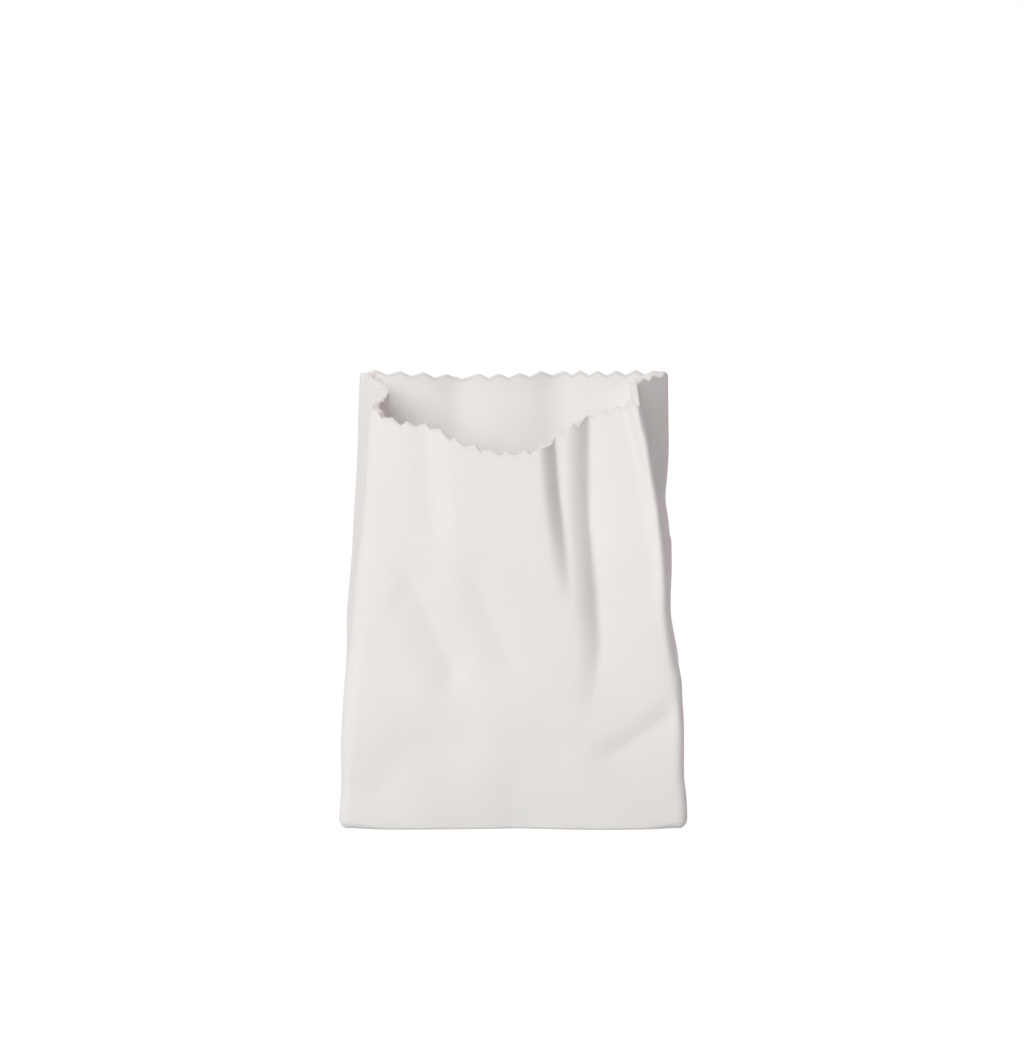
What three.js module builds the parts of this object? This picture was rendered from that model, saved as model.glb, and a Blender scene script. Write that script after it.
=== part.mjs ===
// A vase in matt porcelain with the form of a small paper bag.
// Four folded panels stand on a rounded base tray: a pleated front, a fluted back and two tucked gussets.
// The pinked rim dips at the front, and a thin lining of glaze seals the inside.
// Millimetres, +Z up, the front faces -Y, the origin is the middle of the foot on its resting surface.

import * as THREE from 'three';

// Overall form
const HEIGHT = 100; // resting surface to the tooth tips of the back panel
const BASE_WIDTH = 81; // left to right at the foot
const BASE_DEPTH = 48; // front to back at the foot
const FRONT_SET_BACK = 10; // how far the front corners lean back at the rim
const BACK_SET_IN = 2.5; // how far the back corners lean forward at the rim
const LEAN_START = 15; // the corners stand upright below this height
const LEAN_POWER = 1.3; // how late the lean gathers on its way to the rim

// How far each corner stands inside the foot's width on its way up, as [share of HEIGHT, distance]
const FRONT_LEFT_NARROWING = [
  [0, 0], [0.1, 0.75], [0.2, 0.81], [0.3, 1.38], [0.37, 2], [0.43, 2.9], [0.5, 3.4], [0.58, 4.1],
  [0.65, 4.9], [0.71, 5.7], [0.93, 7.3], [1, 7.9],
];
const FRONT_RIGHT_NARROWING = [
  [0, 0], [0.07, 0.32], [0.12, 0.93], [0.18, 1], [0.24, 1.04], [0.3, 1.41], [0.35, 1.66], [0.39, 2.7],
  [0.44, 3.6], [0.5, 4.5], [0.57, 4.81], [0.65, 5.5], [0.7, 6.17], [0.75, 6.87], [0.8, 7.9],
  [0.86, 8.92], [0.9, 9.62], [0.94, 10.79], [1, 11.78],
];
const BACK_RIGHT_NARROWING = [
  [0, 0], [0.12, 0.3], [0.2, 0.5], [0.26, 0.7], [0.31, 0.87], [0.36, 1.74], [0.41, 2.42], [0.46, 2.3],
  [0.52, 2], [0.58, 2.3], [0.64, 2.83], [0.69, 3.53], [0.74, 3.13], [0.8, 2.79], [0.88, 2.93],
  [1, 3.13],
];
const BACK_LEFT_NARROWING = [
  [0, 0], [0.1, 0.4], [0.25, 0.45], [0.35, 0.54], [0.41, 0.46], [0.48, 0.96], [0.56, 1.69],
  [0.62, 1.95], [0.68, 2.33], [0.73, 2.61], [0.8, 3.05], [0.88, 3.31], [1, 3.83],
];

// Wall, base and lining
const WALL = 2; // thickness of the porcelain wall
const FLOOR = 3; // thickness of the porcelain floor
const FOOT_RADIUS = 2; // outer round between the foot and the wall
const FLOOR_RADIUS = 4; // inner round between the floor and the wall
const SEAM_ABOVE_ROUND = 1; // how far above the inner round the panels meet the base tray
const GLAZE = 0.4; // thickness of the glaze lining
const BARE_RIM = 4; // how far the lining ends below the roots of the teeth
const JOINT_GAP = 0.3; // clearance between pieces that meet

// Softness of the cast edges, as half the length of wall that each round takes up
const CORNER_SOFTNESS = [ // as [share of HEIGHT, softness]
  [0, 3], [0.2, 3.4], [0.4, 5], [0.55, 4.5], [0.8, 3.2], [1, 2.6],
];
const FOLD_SOFTNESS = 0.5;
const INNER_SOFTENING = 5.5; // added to the corners of the inner face
const INNER_REACH = 2.6; // how much wider the folds are on the inner face, to each side
const CORNER_CLEARANCE = 4; // folds die out this far from a corner

// Pinked rim
const TOOTH_PITCH = 4.7;
const TOOTH_HEIGHT = 1.2;
const TOOTH_VARIETY = 0.2; // share by which the teeth differ in height
const TOOTH_SWAY = 0.25; // share of half a pitch by which tips and roots stray sideways
const VARIETY_TURN = 1.3; // turn of the wave of heights from one tip or root to the next, in radians
const SWAY_TURN = 2.1; // turn of the wave that strays them

// Gussets: the inward fold of each side panel, deepest at the rim
const LEFT_TUCK = 4.9;
const RIGHT_TUCK = 5.9;
const LEFT_CREASE_SHARE = 0.52; // place of the crease across its panel, from the left seen from outside
const RIGHT_CREASE_SHARE = 0.69;
const TUCK_START = 28; // height where the inward folds begin
const TUCK_POWER = 1.2;

// Front panel: its middle stays forward while its corners lean back
const FOOT_BELLY = 0.8;
const RIM_BELLY = 5.5;
const FRONT_BELLY = [ // as [share across the panel, share of the belly], seen from outside
  [0, 0], [0.06, 0.28], [0.15, 0.52], [0.3, 0.78], [0.45, 0.96], [0.55, 1.02], [0.65, 1.02],
  [0.72, 0.93], [0.78, 0.82], [0.85, 0.61], [0.92, 0.37], [1, 0],
];

// Back panel: broad upright flutes that fade towards the foot
const FLUTE_HEIGHT = 1;
const FLUTE_LENGTH = 26;
const FLUTE_CREST = 14; // from the centre line, to the right seen from behind
const FLUTE_START = 45;
const FLUTE_SWELL = 0.9; // how soon the flutes rise to their full height away from the corners

// Drop of the tooth roots below those of the back, as [share across the panel, drop], seen from outside
const FRONT_RIM = [
  [0, 2], [0.1, 4.9], [0.22, 5.7], [0.3, 8.1], [0.4, 10.5], [0.5, 11.5], [0.6, 10.9], [0.65, 9.5],
  [0.7, 7.45], [0.76, 5.6], [0.85, 3.65], [1, 1.2],
];
const RIGHT_RIM = [[0, 1.2], [1, 0.1]];
const BACK_RIM = [
  [0, 0.1], [0.2, 0], [0.35, 0.3], [0.48, 0.4], [0.57, 0.7], [0.67, 1.2], [0.77, 0.6], [0.88, 0],
  [1, 0.2],
];
const LEFT_RIM = [[0, 0.2], [1, 2]];

// Pressed folds, as lines across a panel seen from outside, with the reach of each flank to the left
// and right of the line's own direction, and the radius of the round at its bottom. Fades are lengths over
// which a fold dies out at its ends, and a ridge has a negative depth.
// A hanging fold is placed by [across from the centre line, down from HEIGHT], a standing one by
// [across, up].
const hanging = (fold) => ({ ...fold, path: fold.path.map(([across, down]) => [across, HEIGHT - down]) });
const standing = (fold) => fold;

const FRONT_FOLDS = [
  // Two pleats that gather the lip, each a step down to the right
  hanging({
    path: [[9.3, -2], [9.6, 9], [10.6, 22], [12.3, 35], [13.9, 50]],
    depth: 4.3, left: 34, right: 3.3, fadeIn: 0, fadeOut: 27, radius: 0.4,
  }),
  hanging({
    path: [
      [17.6, -2], [17.5, 19], [17.7, 29], [19.1, 43], [20.1, 56.5], [19.3, 63.6], [17.8, 71.4], [16.6, 75],
    ],
    depth: 4.2, left: 34, right: 4.3, fadeIn: 0, fadeOut: 46, radius: 0.5,
  }),
  // A soft valley and ridge from the left of the lip, and another ridge below that slants to the right
  hanging({
    path: [[-20.3, -2], [-19, 14], [-17.5, 30], [-16.5, 40]],
    depth: 0.8, left: 4.5, right: 6, fadeIn: 0, fadeOut: 22, radius: 1,
  }),
  hanging({
    path: [[-15.6, -2], [-13.2, 28], [-12.3, 43], [-10, 54]],
    depth: -0.5, left: 14, right: 5, fadeIn: 0, fadeOut: 22, radius: 2,
  }),
  standing({
    path: [[-14, 48], [-11, 42], [2, 34]],
    depth: -0.4, left: 5, right: 4.5, fadeIn: 6, fadeOut: 8, radius: 1.5,
  }),
  // Slanting valleys across the middle
  standing({
    path: [[-23.8, 66], [-23.4, 56], [-21.5, 48]],
    depth: 0.9, left: 9, right: 6, fadeIn: 11, fadeOut: 9, radius: 1.5,
  }),
  standing({
    path: [[-26, 62], [-24.5, 56], [-19, 47.5], [-12, 37.5], [-5, 28]],
    depth: 1.7, left: 7, right: 9, fadeIn: 34, fadeOut: 13, radius: 2,
  }),
  standing({
    path: [[-10.5, 59], [-7, 51], [-2, 40]],
    depth: 0.5, left: 5, right: 8, fadeIn: 10, fadeOut: 12, radius: 1.5,
  }),
  standing({
    path: [[30, 62], [22, 50]],
    depth: 0.3, left: 7, right: 7, fadeIn: 6, fadeOut: 6, radius: 3,
  }),
  // The arched crease above the foot, and the sharper one that meets the right corner
  standing({
    path: [[-33, 4], [-25, 15.5], [-17, 20.5], [-3, 20.5], [15, 17.5]],
    depth: 0.8, left: 10, right: 14, fadeIn: 7, fadeOut: 12, radius: 3,
  }),
  standing({
    path: [[14, 17.5], [26, 20.5], [38.5, 31]],
    depth: 0.9, left: 6, right: 16, fadeIn: 12, fadeOut: 2, radius: 1.5,
  }),
  // Dents along the foot's front edge
  standing({
    path: [[0.8, 12], [1.2, -2]],
    depth: 0.5, left: 6, right: 10, fadeIn: 7, fadeOut: 0, radius: 1.5,
  }),
  standing({
    path: [[-26, 0], [26, 0]],
    depth: 1, left: 22, right: 22, fadeIn: 20, fadeOut: 20, radius: 3,
  }),
  standing({ path: [[14, 14], [26, 8]], depth: 0.2, left: 6, right: 6, fadeIn: 5, fadeOut: 5, radius: 3 }),
];
const RIGHT_FOLDS = [
  standing({
    path: [[-18, 5], [2, 30]],
    depth: 0.9, left: 7, right: 7, fadeIn: 6, fadeOut: 3, radius: 1.5,
  }),
  standing({
    path: [[18, 5], [2, 30]],
    depth: 0.9, left: 7, right: 7, fadeIn: 6, fadeOut: 3, radius: 1.5,
  }),
  standing({
    path: [[20, 84], [12, 76], [4, 62]],
    depth: 0.9, left: 6, right: 6, fadeIn: 3, fadeOut: 8, radius: 1.5,
  }),
  standing({
    path: [[19, 62], [10, 50]],
    depth: -0.7, left: 6, right: 6, fadeIn: 3, fadeOut: 6, radius: 1.5,
  }),
];
const BACK_FOLDS = [
  standing({
    path: [[-35, 8], [-20, 19], [6, 21], [20, 18], [35, 9]],
    depth: 0.9, left: 8, right: 7, fadeIn: 6, fadeOut: 6, radius: 2.5,
  }),
  standing({
    path: [[26, 66], [14, 50], [9, 38]],
    depth: 0.9, left: 7, right: 6, fadeIn: 7, fadeOut: 10, radius: 2.5,
  }),
  standing({
    path: [[-30, 48], [-18, 36]],
    depth: 0.7, left: 6, right: 6, fadeIn: 6, fadeOut: 6, radius: 2.5,
  }),
];
const LEFT_FOLDS = [
  standing({
    path: [[-18, 5], [-1, 30]],
    depth: 0.9, left: 7, right: 7, fadeIn: 6, fadeOut: 3, radius: 1.5,
  }),
  standing({
    path: [[18, 5], [-1, 30]],
    depth: 0.9, left: 7, right: 7, fadeIn: 6, fadeOut: 3, radius: 1.5,
  }),
  standing({
    path: [[14, 66], [5, 52]],
    depth: 0.7, left: 6, right: 6, fadeIn: 5, fadeOut: 6, radius: 1.5,
  }),
];

// Fineness of the facets
const WALL_ROWS = 16;
const ROUND_STEPS = 4;
const TAPS = [-1, -0.75, -0.5, -0.25, 0, 0.25, 0.5, 0.75, 1]; // places along a length that is averaged

const matt = new THREE.MeshStandardMaterial({ color: 0xe8e5e2, roughness: 0.8, metalness: 0 });
const glossy = new THREE.MeshStandardMaterial({ color: 0xf0eeea, roughness: 0.15, metalness: 0 });

const clamp = THREE.MathUtils.clamp;
const lerp = THREE.MathUtils.lerp;
const rise = (x, length) => (length > 0 ? THREE.MathUtils.smoothstep(x, 0, length) : 1);
const share = (z, start) => clamp((z - start) / (HEIGHT - start), 0, 1);
const lean = (z) => share(z, LEAN_START) ** LEAN_POWER;

/** A smooth function through [x, y] points, with the slope at each point taken from its neighbours. */
function curveThrough(points) {
  const slope = (i) => {
    const [ax, ay] = points[Math.max(i - 1, 0)];
    const [bx, by] = points[Math.min(i + 1, points.length - 1)];
    return (by - ay) / (bx - ax);
  };
  return (x) => {
    const last = points.findIndex((point, i) => i > 0 && x <= point[0]);
    const i = last < 0 ? points.length - 1 : last;
    const [ax, ay] = points[i - 1];
    const [bx, by] = points[i];
    const span = bx - ax;
    const t = clamp((x - ax) / span, 0, 1);
    const blend = t * t * (3 - 2 * t);
    const lift = t * (1 - t) * span;
    return lerp(ay, by, blend) + lift * (slope(i - 1) * (1 - t) - slope(i) * t);
  };
}

const cornerSoftness = curveThrough(CORNER_SOFTNESS);

// The corners in order round the bag, from the front left one to the back left one
const CORNERS = [
  { side: -1, front: true, narrowing: curveThrough(FRONT_LEFT_NARROWING) },
  { side: 1, front: true, narrowing: curveThrough(FRONT_RIGHT_NARROWING) },
  { side: 1, front: false, narrowing: curveThrough(BACK_RIGHT_NARROWING) },
  { side: -1, front: false, narrowing: curveThrough(BACK_LEFT_NARROWING) },
];

/** Place of a corner of the sharp outline at height z. */
function cornerAt(index, z) {
  const { side, front, narrowing } = CORNERS[index];
  const x = side * (BASE_WIDTH / 2 - narrowing(z / HEIGHT));
  const y = front ? FRONT_SET_BACK * lean(z) - BASE_DEPTH / 2 : BASE_DEPTH / 2 - BACK_SET_IN * lean(z);
  return new THREE.Vector2(x, y);
}

/** Inward fold of a gusset whose crease lies at a share of the panel's width. */
const tuck = (depth, crease) => (s, z) =>
  depth * share(z, TUCK_START) ** TUCK_POWER * (s < crease ? s / crease : (1 - s) / (1 - crease));

const bellyShare = curveThrough(FRONT_BELLY);
const belly = (s, z) => -lerp(FOOT_BELLY, RIM_BELLY, lean(z)) * bellyShare(s);

const flutes = (s, z) => {
  const across = (s - 0.5) * BASE_WIDTH;
  const wave = Math.cos((2 * Math.PI * (across - FLUTE_CREST)) / FLUTE_LENGTH);
  return -FLUTE_HEIGHT * share(z, FLUTE_START) * wave * Math.sin(Math.PI * s) ** FLUTE_SWELL;
};

// The panels in order round the bag, seen from above anticlockwise from the front left corner.
// Each goes left to right as seen from outside: along is that direction, and out points away from the bag.
const PANELS = [
  { name: 'front_panel', width: BASE_WIDTH, along: [1, 0], shape: belly, rim: FRONT_RIM, folds: FRONT_FOLDS },
  {
    name: 'right_gusset', width: BASE_DEPTH, along: [0, 1],
    shape: tuck(RIGHT_TUCK, RIGHT_CREASE_SHARE), rim: RIGHT_RIM, folds: RIGHT_FOLDS,
  },
  { name: 'back_panel', width: BASE_WIDTH, along: [-1, 0], shape: flutes, rim: BACK_RIM, folds: BACK_FOLDS },
  {
    name: 'left_gusset', width: BASE_DEPTH, along: [0, -1],
    shape: tuck(LEFT_TUCK, LEFT_CREASE_SHARE), rim: LEFT_RIM, folds: LEFT_FOLDS,
  },
];
let girth = 0;
PANELS.forEach((panel, index) => {
  panel.index = index;
  panel.start = girth;
  panel.along = new THREE.Vector2(...panel.along);
  panel.out = new THREE.Vector2(panel.along.y, -panel.along.x);
  panel.drop = curveThrough(panel.rim);
  panel.teeth = Math.round(panel.width / TOOTH_PITCH);
  girth += panel.width;
});

/** Panel and share across it at flat position u, measured round the bag from the front left corner. */
function locate(u) {
  const wrapped = THREE.MathUtils.euclideanModulo(u, girth);
  const panel = PANELS.findLast((candidate) => candidate.start <= wrapped);
  return { panel, s: (wrapped - panel.start) / panel.width };
}

/** Depth that one pressed fold takes out of its panel at a place on it. */
function foldDepth(fold, across, up) {
  const near = { away: Infinity, side: 0, along: 0 };
  let walked = 0;
  for (let i = 1; i < fold.path.length; i++) {
    const from = new THREE.Vector2(...fold.path[i - 1]);
    const step = new THREE.Vector2(...fold.path[i]).sub(from);
    const length = step.length();
    step.divideScalar(length);
    const offset = new THREE.Vector2(across, up).sub(from);
    const along = clamp(offset.dot(step), 0, length);
    offset.addScaledVector(step, -along);
    if (offset.length() < near.away) {
      Object.assign(near, { away: offset.length(), side: step.cross(offset), along: walked + along });
    }
    walked += length;
  }
  const reach = near.side > 0 ? fold.left : fold.right;
  const softened = Math.hypot(near.away, fold.radius) - fold.radius;
  const flank = Math.max(0, 1 - softened / reach) ** 2;
  return fold.depth * flank * rise(near.along, fold.fadeIn) * rise(walked - near.along, fold.fadeOut);
}

/** Ends of a panel's sharp outline at height z. */
const panelEnds = (panel, z) => [cornerAt(panel.index, z), cornerAt((panel.index + 1) % PANELS.length, z)];

/** Depth of a panel's shape and folds below its flat plane, at a share across it, positive into the bag. */
function depthAt(panel, anyShare, z) {
  const s = clamp(anyShare, 0, 1);
  const [from, to] = panelEnds(panel, z);
  const across = from.clone().lerp(to, s).dot(panel.along);
  const edge = Math.min(s, 1 - s) * from.distanceTo(to);
  const pressed = panel.folds.reduce((sum, fold) => sum + foldDepth(fold, across, z), 0);
  return panel.shape(s, z) + rise(edge, CORNER_CLEARANCE) * pressed;
}

/**
 * The flat outline at u and z with its corner rounded, and the direction along it, anticlockwise from above.
 * Both are averages of the sharp outline over a short length of wall to both sides, so the direction is
 * shorter than one in a corner, and a face set in along its normal can't fold over there.
 */
function outlineAt(u, z, face) {
  const { panel, s } = locate(u);
  const index = s < 0.5 ? panel.index : (panel.index + 1) % PANELS.length;
  const previous = (index + PANELS.length - 1) % PANELS.length;
  const corner = cornerAt(index, z);
  const before = corner.clone().sub(cornerAt(previous, z)).divideScalar(PANELS[previous].width);
  const after = cornerAt((index + 1) % PANELS.length, z).sub(corner).divideScalar(PANELS[index].width);
  const past = (s < 0.5 ? s : s - 1) * panel.width;
  const reach = cornerSoftness(z / HEIGHT) + face.softening;
  const behind = clamp((reach - past) / 2, 0, reach);
  const ahead = reach - behind;
  const place = corner.addScaledVector(before, Math.min(past + reach, 0) - behind ** 2 / reach);
  place.addScaledVector(after, Math.max(past - reach, 0) + ahead ** 2 / reach);
  const along = before.setLength(behind / reach).addScaledVector(after.normalize(), ahead / reach);
  return { place, along };
}

/** Move of the wall out of its flat planes, averaged over the reach of the face's folds. */
function relief(u, z, face) {
  const sum = new THREE.Vector2();
  for (const tap of TAPS) {
    const { panel, s } = locate(u + tap * face.reach);
    const shifts = face.widen ? TAPS : [0];
    const depths = shifts.map((shift) => depthAt(panel, s + (shift * face.reach) / panel.width, z));
    sum.addScaledVector(panel.out, -Math.max(...depths));
  }
  return sum.divideScalar(TAPS.length);
}

// The outer face is as crisp as the mould, the inner one has wider folds and rounder corners.
const OUTSIDE = { softening: 0, reach: FOLD_SOFTNESS, widen: false };
const INSIDE = { softening: INNER_SOFTENING, reach: INNER_REACH, widen: true };

/** Point of the wall at flat position u and height z, set in from one of its faces. */
function wallPoint(u, z, inset, face) {
  const { place, along } = outlineAt(u, z, face);
  const point = place.add(relief(u, z, face));
  return new THREE.Vector3(point.x - along.y * inset, point.y + along.x * inset, z);
}
const outerPoint = (u, z, inset = 0) => wallPoint(u, z, inset, OUTSIDE);
const innerPoint = (u, z, inset = WALL) => wallPoint(u, z, inset, INSIDE);

const rootHeight = (panel, s) => HEIGHT - TOOTH_HEIGHT - panel.drop(s);

/** Set-in of a quarter round of this radius at height z, where the round starts at height low. */
const roundInset = (z, low, radius) => {
  const below = clamp(low + radius - z, 0, radius);
  return radius - Math.sqrt(radius ** 2 - below ** 2);
};

/** Heights up a quarter round of this radius, spaced evenly by angle, from its foot to its top. */
const roundHeights = (low, radius) => {
  const angles = Array.from({ length: ROUND_STEPS + 1 }, (_, i) => (i * Math.PI) / 2 / ROUND_STEPS);
  return angles.map((angle) => low + radius * (1 - Math.cos(angle)));
};

function geometryOf(points, triangles) {
  const geometry = new THREE.BufferGeometry().setFromPoints(points);
  geometry.setIndex(triangles);
  geometry.computeVertexNormals();
  return geometry;
}

/** Closed solid between an outer and an inner sheet of points, as columns from left to right, from below. */
function sheetSolid(outer, inner) {
  const rows = outer[0].length;
  const last = outer.length - 1;
  const back = outer.length * rows;
  const at = (i, j) => i * rows + j;
  const triangles = [];
  const quad = (a, b, c, d) => triangles.push(a, b, c, a, c, d);
  for (let i = 0; i < last; i++) {
    for (let j = 0; j < rows - 1; j++) {
      quad(at(i, j), at(i + 1, j), at(i + 1, j + 1), at(i, j + 1));
      quad(back + at(i, j), back + at(i, j + 1), back + at(i + 1, j + 1), back + at(i + 1, j));
    }
    quad(at(i + 1, 0), at(i, 0), back + at(i, 0), back + at(i + 1, 0));
    quad(at(i, rows - 1), at(i + 1, rows - 1), back + at(i + 1, rows - 1), back + at(i, rows - 1));
  }
  for (let j = 0; j < rows - 1; j++) {
    quad(at(0, j), at(0, j + 1), back + at(0, j + 1), back + at(0, j));
    quad(at(last, j + 1), at(last, j), back + at(last, j), back + at(last, j + 1));
  }
  return geometryOf([...outer.flat(), ...inner.flat()], triangles);
}

/** Closed solid through rings of points, from under the foot up the outside and down to the floor inside. */
function cupSolid(rings, underside, topside) {
  const count = rings[0].length;
  const at = (r, i) => r * count + (i % count);
  const foot = rings.length * count;
  const top = foot + 1;
  const lastRing = rings.length - 1;
  const triangles = [];
  for (let i = 0; i < count; i++) {
    for (let r = 0; r < lastRing; r++) {
      triangles.push(at(r, i), at(r, i + 1), at(r + 1, i + 1), at(r, i), at(r + 1, i + 1), at(r + 1, i));
    }
    triangles.push(foot, at(0, i + 1), at(0, i), top, at(lastRing, i), at(lastRing, i + 1));
  }
  return geometryOf([...rings.flat(), underside, topside], triangles);
}

const seam = FLOOR + FLOOR_RADIUS + SEAM_ABOVE_ROUND; // height where the panels stand on the base tray

/** Heights of the rows up the wall, from the base tray to the bare band of the rim. */
const rowHeights = (panel, s) =>
  Array.from({ length: WALL_ROWS + 1 }, (_, j) =>
    lerp(seam + JOINT_GAP, rootHeight(panel, s) - BARE_RIM, j / WALL_ROWS),
  );

/** Columns of a panel from left to right, alternating between the roots and the tips of its teeth. */
function columnsOf(panel) {
  const count = 2 * panel.teeth;
  return Array.from({ length: count + 1 }, (_, i) => {
    const end = i === 0 || i === count;
    const s = (i + (end ? 0 : TOOTH_SWAY * Math.sin(SWAY_TURN * i + panel.index))) / count;
    const variety = TOOTH_VARIETY * (0.5 + 0.5 * Math.sin(VARIETY_TURN * i));
    const tooth = i % 2 === 0 ? 0 : TOOTH_HEIGHT * (1 - variety);
    return { s, u: panel.start + s * panel.width, tooth, heights: rowHeights(panel, s) };
  });
}

/** One panel of the wall, with a tooth for every second column of its rim and mitred, clear ends. */
function makePanel(panel) {
  const columns = columnsOf(panel);
  const outer = [];
  const inner = [];
  columns.forEach(({ s, u, tooth, heights }, i) => {
    const levels = [...heights, rootHeight(panel, s) + tooth];
    const shift = ((i === 0) - (i === columns.length - 1)) * (JOINT_GAP / 2);
    const clear = (point, z) => {
      const { along } = outlineAt(u, z, OUTSIDE);
      along.setLength(shift);
      return point.add(new THREE.Vector3(along.x, along.y, 0));
    };
    outer.push(levels.map((z) => clear(outerPoint(u, z), z)));
    inner.push(levels.map((z) => clear(innerPoint(u, z), z)));
  });
  return sheetSolid(outer, inner);
}

// All columns round the bag once
const columns = PANELS.flatMap((panel) => columnsOf(panel).slice(0, -1));

/** The base tray: the foot, the rounded lower edge, and the floor with the start of the wall. */
function makeBase() {
  const ring = (point, z, inset) => columns.map(({ u }) => point(u, z, inset));
  const outside = roundHeights(0, FOOT_RADIUS).map((z) => ring(outerPoint, z, roundInset(z, 0, FOOT_RADIUS)));
  const inside = roundHeights(FLOOR, FLOOR_RADIUS).map((z) =>
    ring(innerPoint, z, WALL + roundInset(z, FLOOR, FLOOR_RADIUS)),
  );
  const rings = [...outside, ring(outerPoint, seam, 0), ring(innerPoint, seam, WALL), ...inside.reverse()];
  return cupSolid(rings, new THREE.Vector3(0, 0, 0), new THREE.Vector3(0, 0, FLOOR));
}

/** The glaze lining: a thin cup against the inner faces of the panels and base, ending below the teeth. */
function makeLining() {
  const skin = (depth) => {
    const low = FLOOR + depth;
    const radius = FLOOR_RADIUS - depth;
    const rounded = roundHeights(low, radius).map((z) =>
      columns.map(({ u }) => innerPoint(u, z, WALL + depth + roundInset(z, low, radius))),
    );
    const upright = Array.from({ length: WALL_ROWS + 1 }, (_, j) =>
      columns.map(({ u, heights }) => innerPoint(u, heights[j], WALL + depth)),
    );
    return [...rounded, ...upright];
  };
  const rings = [...skin(JOINT_GAP), ...skin(JOINT_GAP + GLAZE).reverse()];
  const centre = (depth) => new THREE.Vector3(0, 0, FLOOR + depth);
  return cupSolid(rings, centre(JOINT_GAP), centre(JOINT_GAP + GLAZE));
}

const vase = new THREE.Group();
const add = (name, geometry, material) => {
  const mesh = new THREE.Mesh(geometry, material);
  mesh.name = name;
  vase.add(mesh);
};
for (const panel of PANELS) add(panel.name, makePanel(panel), matt);
add('base_tray', makeBase(), matt);
add('glaze_lining', makeLining(), glossy);

export default vase;
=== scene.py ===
"""Looks of a porcelain vase in the form of a small paper bag.

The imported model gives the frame. Two pieces dress it: one seamless matt porcelain body with folded panels
and a pinked rim, and the glaze that seals its inside. Lengths of the form are in millimetres, +Z is up and
the front faces -Y, as in the frame; meshes are scaled to metres when they are built.
"""

from __future__ import annotations

import logging
import math
from dataclasses import dataclass
from enum import IntEnum
from typing import Any, Callable

import bmesh
import bpy
import numpy as np
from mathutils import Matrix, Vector


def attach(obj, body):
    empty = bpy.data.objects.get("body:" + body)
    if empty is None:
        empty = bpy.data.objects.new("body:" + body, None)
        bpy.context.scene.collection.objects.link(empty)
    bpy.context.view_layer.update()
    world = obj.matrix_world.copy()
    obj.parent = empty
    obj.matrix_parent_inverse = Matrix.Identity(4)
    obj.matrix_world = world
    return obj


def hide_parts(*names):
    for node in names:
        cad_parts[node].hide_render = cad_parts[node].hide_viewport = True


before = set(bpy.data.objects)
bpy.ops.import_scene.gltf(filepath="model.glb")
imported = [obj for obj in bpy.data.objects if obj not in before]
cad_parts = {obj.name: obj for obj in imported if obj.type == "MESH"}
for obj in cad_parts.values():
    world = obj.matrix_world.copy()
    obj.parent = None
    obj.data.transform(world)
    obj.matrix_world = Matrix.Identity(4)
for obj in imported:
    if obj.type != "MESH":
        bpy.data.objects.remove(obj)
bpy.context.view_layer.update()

LOG = logging.getLogger("bag_vase")
MM = 0.001
SHARP = math.radians(60)
MERGE_DISTANCE = 1e-6
NOISE_MIDDLE = 0.5

Array = np.ndarray
Points = tuple[tuple[float, float], ...]
Colour = tuple[float, float, float]
Place = tuple[float, float, float]


def smooth_step(x: Array, length: float) -> Array:
    """Rise smoothly from 0 to 1 as x goes from 0 to a length, or 1 all over where the length is 0."""
    if length <= 0:
        return np.ones_like(x)
    t = np.clip(x / length, 0.0, 1.0)
    return t * t * (3.0 - 2.0 * t)


def blend(low: float, high: float, t: Array) -> Array:
    """Go straight from low to high as t goes from 0 to 1."""
    return low + (high - low) * t


def curve_through(points: Points) -> Callable[[Array], Array]:
    """Make a smooth function through points, with the slope at each one taken from its neighbours.

    Args:
        points: The (x, y) points, in order of x.

    Returns:
        A function that gives y for an array of x, held level outside the points.
    """
    xs, ys = np.array(points, float).T
    before = np.maximum(np.arange(len(xs)) - 1, 0)
    after = np.minimum(np.arange(len(xs)) + 1, len(xs) - 1)
    slopes = (ys[after] - ys[before]) / (xs[after] - xs[before])

    def curve(x: Array) -> Array:
        """Give y at x."""
        i = np.clip(np.searchsorted(xs, x) - 1, 0, len(xs) - 2)
        span = xs[i + 1] - xs[i]
        t = np.clip((x - xs[i]) / span, 0.0, 1.0)
        lift = t * (1.0 - t) * span
        level = ys[i] + (ys[i + 1] - ys[i]) * t * t * (3.0 - 2.0 * t)
        return level + lift * (slopes[i] * (1.0 - t) - slopes[i + 1] * t)

    return curve


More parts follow.
